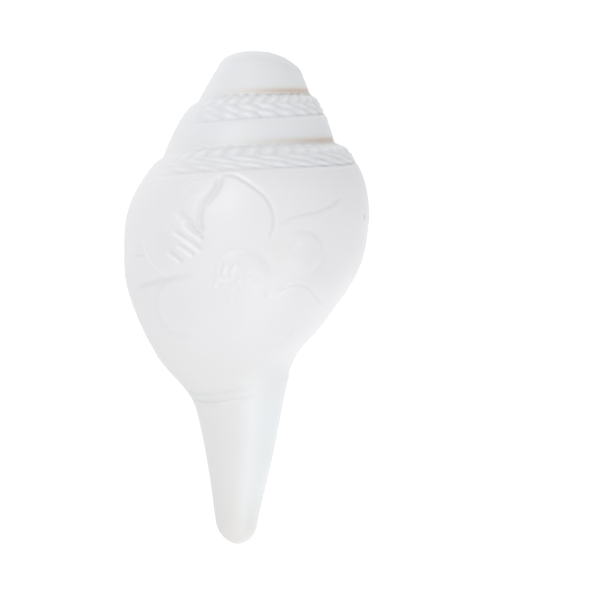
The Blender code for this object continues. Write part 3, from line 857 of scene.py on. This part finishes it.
def soft_lamp(name, sideways, down, up, watts):
    """A square lamp placed in mm along the picture's own directions, aimed at the shell."""
    data = bpy.data.lights.new(name, "AREA")
    data.energy, data.size = watts, LAMP_SIZE
    lamp = bpy.data.objects.new(name, data)
    lamp.location = Vector((np.array((sideways, down, up)) @ TURN.T + SHIFT) * MM)
    aim = Vector(LAMP_AIM) - lamp.location
    lamp.rotation_euler = aim.to_track_quat("-Z", "Y").to_euler()
    bpy.context.collection.objects.link(lamp)


for lamp_values in LAMPS:
    soft_lamp(*lamp_values)
world = bpy.data.worlds.new("studio")
world.use_nodes = True
world.node_tree.nodes["Background"].inputs["Color"].default_value = WHITE
world.node_tree.nodes["Background"].inputs["Strength"].default_value = WORLD_STRENGTH
bpy.context.scene.world = world
bpy.context.scene.view_settings.view_transform = "Standard"
print("lamps:", len(LAMPS))

# %% [markdown]
# ## Colour
#
# A chank's shell is white all through. Polish leaves a soft milky gloss, cool in the middle of
# the picture and a little warmer at the tail's tip. The tail's right side is painted a lighter
# white, as painted light. Recesses are painted greyer, as painted shade, and edges and the tops
# of the plait's leaves are painted whiter, as painted highlights. The places come from the
# shell's own growth and carving, so they are worked out for every point of the mesh and handed
# to the material as attributes.

# %% Painted highlights on edges
# Painted highlights along edges: the line, how far to its right they lie, and how strong
HIGHLIGHT_EDGES = (
    (STROKES[0], 1.0, 0.3), (STROKES[1], 1.0, 0.55), (STROKES[2], 1.0, 0.55), (STROKES[3], 1.0, 0.45),
    (TOP_PETAL[:4], -1.0, 0.4), (LEFT_PETAL, 0.0, 0.4), (BEHIND_RIBBON, 0.8, 0.3),
    (RIGHT_FOLD, 0.8, 0.3), (LOWER_RIGHT_PETAL, 1.0, 0.3),
    (SEEDS[0][:2], 0.0, 0.5), (SEEDS[1][:2], 0.0, 0.4), (SEEDS[3][:2], 0.6, 0.35),
    (SEEDS[5][:2], 0.0, 0.3), (((-12.4, 112.9), (-12.9, 116.6)), 0.0, 0.3),
    (((14.2, 113.2), (17.6, 110.6)), 0.0, 0.5),
)
HIGHLIGHT_HALF_WIDTH, HIGHLIGHT_TAPER = 0.5, 0.15


def painted_highlights(x, down):
    """The painted highlight at each place: near an edge, a bell over the distance to it."""
    highlight = np.zeros_like(x)
    for points, aside, share in HIGHLIGHT_EDGES:
        off, along = off_line(x, down, points)
        taper = smooth_step(along / HIGHLIGHT_TAPER) * smooth_step((1.0 - along) / HIGHLIGHT_TAPER)
        near = np.exp(-((off - aside) / HIGHLIGHT_HALF_WIDTH) ** 2)
        highlight = np.maximum(highlight, share * taper * near)
    return highlight


print("polished edges:", len(HIGHLIGHT_EDGES))

# %% [markdown]
# What is left of the brown skin sits in the sutures as a thin pink-orange line. The inside of
# the opening is pale peach: a point that lies deeper than the carved outside is in the hollow.

# %% Places of the colours
RECESS_SHADE_FULL = 2.0           # depth in mm where the painted shade in the carving is at its darkest
INSIDE_FROM, INSIDE_OVER = 0.5, 1.6
SUTURE_LINE_UP, SUTURE_LINE_HALF_WIDTH = 1.2, 1.3
# Degrees before the lip where the line starts, on the upper and on the lower suture, over which
# it grows strong to the right, and what shows of it on the left
LINE_STARTS, LINE_GROWS, LINE_FAINT = (85.0, 115.0), 95.0, 0.06
# Painted highlight on the leaves' tops: its strength, the depths in the unworn plait, in mm,
# between which a leaf's top lies, and how softly it ends
LEAF_TOP_HIGHLIGHT, LEAF_TOP_LOW, LEAF_TOP_HIGH = 0.35, (0.45, 0.25), (0.09, 0.04)


def store(mesh, name, values):
    """Adds a number or a vector for every point of the mesh."""
    kind = "FLOAT" if values.ndim == 1 else "FLOAT_VECTOR"
    field = "value" if values.ndim == 1 else "vector"
    layer = mesh.attributes.new(name, kind, "POINT")
    layer.data.foreach_set(field, np.ascontiguousarray(values, dtype=np.float32).ravel())


def colour_places(mesh):
    """Adds for each point where it is on the shell, its growth in turns, how much of the
    suture's line it shows, whether it is in the hollow, its painted highlight, and its
    painted shade, which grows with its depth in the carving."""
    points = np.empty(len(mesh.vertices) * 3)
    mesh.vertices.foreach_get("co", points)
    x, down, up = unplace(points.reshape(-1, 3))
    angle = (np.degrees(np.arctan2(up, x)) - LIP_ANGLE) % 360.0 - 360.0
    outside = carved_radius(angle, np.clip(down, TOP, TIP))
    between_ends = (down > TOP + TOP_ROUNDING + 2.0) & (down < TIP - TIP_ROUNDING)
    inside = smooth_step((outside - np.hypot(x, up) - INSIDE_FROM) / INSIDE_OVER) * between_ends
    nearest = np.round(turns_below(angle, down))
    off = down - suture(angle) * WHORL_RATIO ** nearest
    starts = np.where(nearest < 0, *LINE_STARTS)
    to_the_right = LINE_FAINT + (1.0 - LINE_FAINT) * smooth_step((-angle - starts) / LINE_GROWS)
    line = np.exp(-((off + SUTURE_LINE_UP) / SUTURE_LINE_HALF_WIDTH) ** 2) * to_the_right
    line = line * (nearest > -2) * (nearest < 1)
    store(mesh, "shell_place", np.stack([x, down, up], axis=-1))
    store(mesh, "growth", angle / 360.0)
    store(mesh, "suture_line", line * (1.0 - inside))
    store(mesh, "inside", inside)
    facing_up = (up > 0.0) * (1.0 - inside)
    plait, left = plait_and_wear(angle, down)
    left = left * (1.0 - inside)
    # Painted highlights on the tops of the plait's leaves, and along carved edges
    leaf_tops = smooth_step((plait + LEAF_TOP_LOW[0]) / LEAF_TOP_LOW[1])
    leaf_tops = leaf_tops * smooth_step((-plait - LEAF_TOP_HIGH[0]) / LEAF_TOP_HIGH[1])
    leaf_highlight = LEAF_TOP_HIGHLIGHT * leaf_tops * left ** 2
    highlight = np.maximum(painted_highlights(x, down) * facing_up, leaf_highlight)
    store(mesh, "painted_highlight", highlight)
    # Painted shade: the deeper a point lies in the carving, the greyer its colour
    relief = (lotus_relief(x, down) + ring_relief(x, down)) * facing_up + plait * left
    store(mesh, "recess_shade", smooth_step(-relief / RECESS_SHADE_FULL))
    print("points in the hollow:", int((inside > 0.5).sum()), "of", len(inside))


colour_places(shell.data)

# %% [markdown]
# A material is a tree of nodes, and most of its nodes are small sums. This class wraps a node's
# output, so that an expression in Python builds them: mask * 0.5 adds one Multiply node. Any
# other node comes from one method.

# %% Shader sums
class Wire:
    """An output socket of a shader node. Sums with it add Math nodes."""

    def __init__(self, tree, socket):
        self.tree, self.socket = tree, socket

    def node(self, kind, output=0, settings=(), **values):
        """Any node: its settings, and its inputs by number, as in i0=wire or i1=0.5."""
        made = self.tree.nodes.new(kind)
        for name, value in dict(settings).items():
            setattr(made, name, value)
        for name, value in values.items():
            spot = made.inputs[int(name[1:])]
            if isinstance(value, Wire):
                self.tree.links.new(value.socket, spot)
            else:
                spot.default_value = value
        return Wire(self.tree, made.outputs[output])

    def math(self, operation, a, b):
        """A Math node: the operation on a and b."""
        return self.node("ShaderNodeMath", settings={"operation": operation}, i0=a, i1=b)

    def __add__(self, other):
        """The wire plus a number or a wire."""
        return self.math("ADD", self, other)

    def __radd__(self, other):
        """A number plus the wire."""
        return self.math("ADD", other, self)

    def __sub__(self, other):
        """The wire minus a number or a wire."""
        return self.math("SUBTRACT", self, other)

    def __rsub__(self, other):
        """A number minus the wire."""
        return self.math("SUBTRACT", other, self)

    def __mul__(self, other):
        """The wire times a number or a wire."""
        return self.math("MULTIPLY", self, other)

    def __rmul__(self, other):
        """A number times the wire."""
        return self.math("MULTIPLY", other, self)

    def ramp(self, low, high):
        """0 below low, 1 above high, smooth between; low may be over high."""
        return self.node("ShaderNodeMapRange", settings={"interpolation_type": "SMOOTHSTEP"},
                         i0=self, i1=low, i2=high, i3=0.0, i4=1.0)

    def attribute(self, name, output=2):
        """A number stored on the mesh, or with output 1 a vector."""
        return self.node("ShaderNodeAttribute", output=output, settings={"attribute_name": name})

    def noise(self, place, scale, detail=2.0):
        """Cloudy noise around a half."""
        return self.node("ShaderNodeTexNoise", i0=place, i2=scale, i3=detail)

    def mix(self, share, first, second):
        """A colour between two, by the share."""
        return self.node("ShaderNodeMix", output=2, settings={"data_type": "RGBA"},
                         i0=share, i6=first, i7=second)


print("signs that add Math nodes: + - *")

# %% [markdown]
# The finish is a ground and polished shell: white with a soft gloss, and nowhere quite the same
# white. Five whites pass into each other down the axis, one of them painted light on the tail's
# right side. Clouds and growth streaks vary them, and the stored places add the rest, among it
# painted shade in the recesses and painted highlights on edges. An image could be painted on,
# but it would have seams and blur up close. Formulas on the shell's own places have neither.

# %% Polished shell
COOL_WHITE = (0.850, 0.846, 0.864, 1.0)
NEUTRAL_WHITE = (0.815, 0.815, 0.812, 1.0)
BLUE_WHITE = (0.825, 0.838, 0.862, 1.0)
TAIL_PAINTED_LIGHT_WHITE = (0.875, 0.900, 0.915, 1.0)
WARM_WHITE = (0.800, 0.780, 0.760, 1.0)
RECESS_SHADE_GREY = (0.600, 0.635, 0.670, 1.0)
HIGHLIGHT_WHITE = (0.985, 0.980, 1.000, 1.0)
SUTURE_PINK = (0.700, 0.570, 0.500, 1.0)
SUTURE_YELLOW = (0.760, 0.700, 0.560, 1.0)
PALE_PEACH = (0.800, 0.650, 0.540, 1.0)
SPECK_BROWN = (0.120, 0.080, 0.060, 1.0)
SMUDGE_GREY = (0.500, 0.480, 0.470, 1.0)
SPECKS = (((11.8, 29.6, 19.0), 0.55), ((6.0, 66.7, 45.7), 0.45))
SMUDGE = ((45.1, 81.2, 17.0), 2.2)
# Where a white gives way to the next, in mm down the axis
BLUE_RAMP, NEUTRAL_RAMP = (75.0, 50.0), (130.0, 175.0)
TAIL_PAINTED_LIGHT_RAMP, WARM_RAMP = (135.0, 165.0), (195.0, 222.0)
TAIL_PAINTED_LIGHT_SIDE_RAMP = (-4.0, 8.0)   # painted light: the tail's lighter white lies on its right, in mm sideways
CLOUD_SCALE, CLOUD_SHARE = 0.045, 0.9
# Growth streaks: how many clouds wide they are in a turn and in a mm down, and their share
STREAKS_IN_TURN, STREAKS_IN_MM, STREAK_SHARE = 60.0, 0.03, 0.25
RECESS_SHADE_SHARE, WARM_SHARE, SMUDGE_SHARE = 0.3, 0.7, 0.5
ROUGHNESS, ROUGHNESS_CLOUDS, SHELL_IOR = 0.42, 0.1, 1.45


def shell_material():
    """Polished shell: whites, painted light, shade and highlights, the suture's line, peach inside,
    specks.
    """
    material = bpy.data.materials.new("polished_shell")
    material.use_nodes = True
    tree = material.node_tree
    surface = tree.nodes["Principled BSDF"]
    wire = Wire(tree, None)
    spot = wire.attribute("shell_place", output=1)
    x, down = (wire.node("ShaderNodeSeparateXYZ", output=k, i0=spot) for k in range(2))
    clouds = wire.noise(spot, CLOUD_SCALE)
    stretched = wire.node("ShaderNodeCombineXYZ", i0=wire.attribute("growth") * STREAKS_IN_TURN,
                          i1=down * STREAKS_IN_MM, i2=0.0)
    streaks = wire.noise(stretched, 1.0, 3.0)
    colour = wire.mix(down.ramp(*BLUE_RAMP), COOL_WHITE, BLUE_WHITE)
    colour = wire.mix(down.ramp(*NEUTRAL_RAMP), colour, NEUTRAL_WHITE)
    # Painted light: a lighter, bluer white on the tail's right side
    colour = wire.mix(down.ramp(*TAIL_PAINTED_LIGHT_RAMP) * x.ramp(*TAIL_PAINTED_LIGHT_SIDE_RAMP), colour, TAIL_PAINTED_LIGHT_WHITE)
    colour = wire.mix(down.ramp(*WARM_RAMP) * WARM_SHARE, colour, WARM_WHITE)
    uneven = (clouds - 0.5) * CLOUD_SHARE + (streaks - 0.5) * STREAK_SHARE
    colour = wire.mix(uneven, colour, NEUTRAL_WHITE)
    # Painted shade: grey mixed in where the carving is deep
    colour = wire.mix(wire.attribute("recess_shade") * RECESS_SHADE_SHARE, colour, RECESS_SHADE_GREY)
    # Painted highlight: a whiter colour along edges and on leaf tops
    colour = wire.mix(wire.attribute("painted_highlight"), colour, HIGHLIGHT_WHITE)
    line = wire.attribute("suture_line")
    colour = wire.mix(line, colour, wire.mix(line.ramp(0.2, 0.8), SUTURE_YELLOW, SUTURE_PINK))
    colour = wire.mix(wire.attribute("inside"), colour, PALE_PEACH)
    for middle, radius in SPECKS:
        off = wire.node("ShaderNodeVectorMath", output=1, settings={"operation": "DISTANCE"},
                        i0=spot, i1=middle)
        colour = wire.mix(off.ramp(radius, radius * 0.4), colour, SPECK_BROWN)
    off = wire.node("ShaderNodeVectorMath", output=1, settings={"operation": "DISTANCE"},
                    i0=spot, i1=SMUDGE[0])
    colour = wire.mix(off.ramp(SMUDGE[1], 0.0) * SMUDGE_SHARE, colour, SMUDGE_GREY)
    tree.links.new(colour.socket, surface.inputs["Base Color"])
    roughness = ROUGHNESS + (clouds - 0.5) * ROUGHNESS_CLOUDS
    tree.links.new(roughness.socket, surface.inputs["Roughness"])
    surface.inputs["IOR"].default_value = SHELL_IOR
    return material


shell.data.materials.clear()
shell.data.materials.append(shell_material())
print("nodes of the polished shell:", len(shell.data.materials[0].node_tree.nodes))
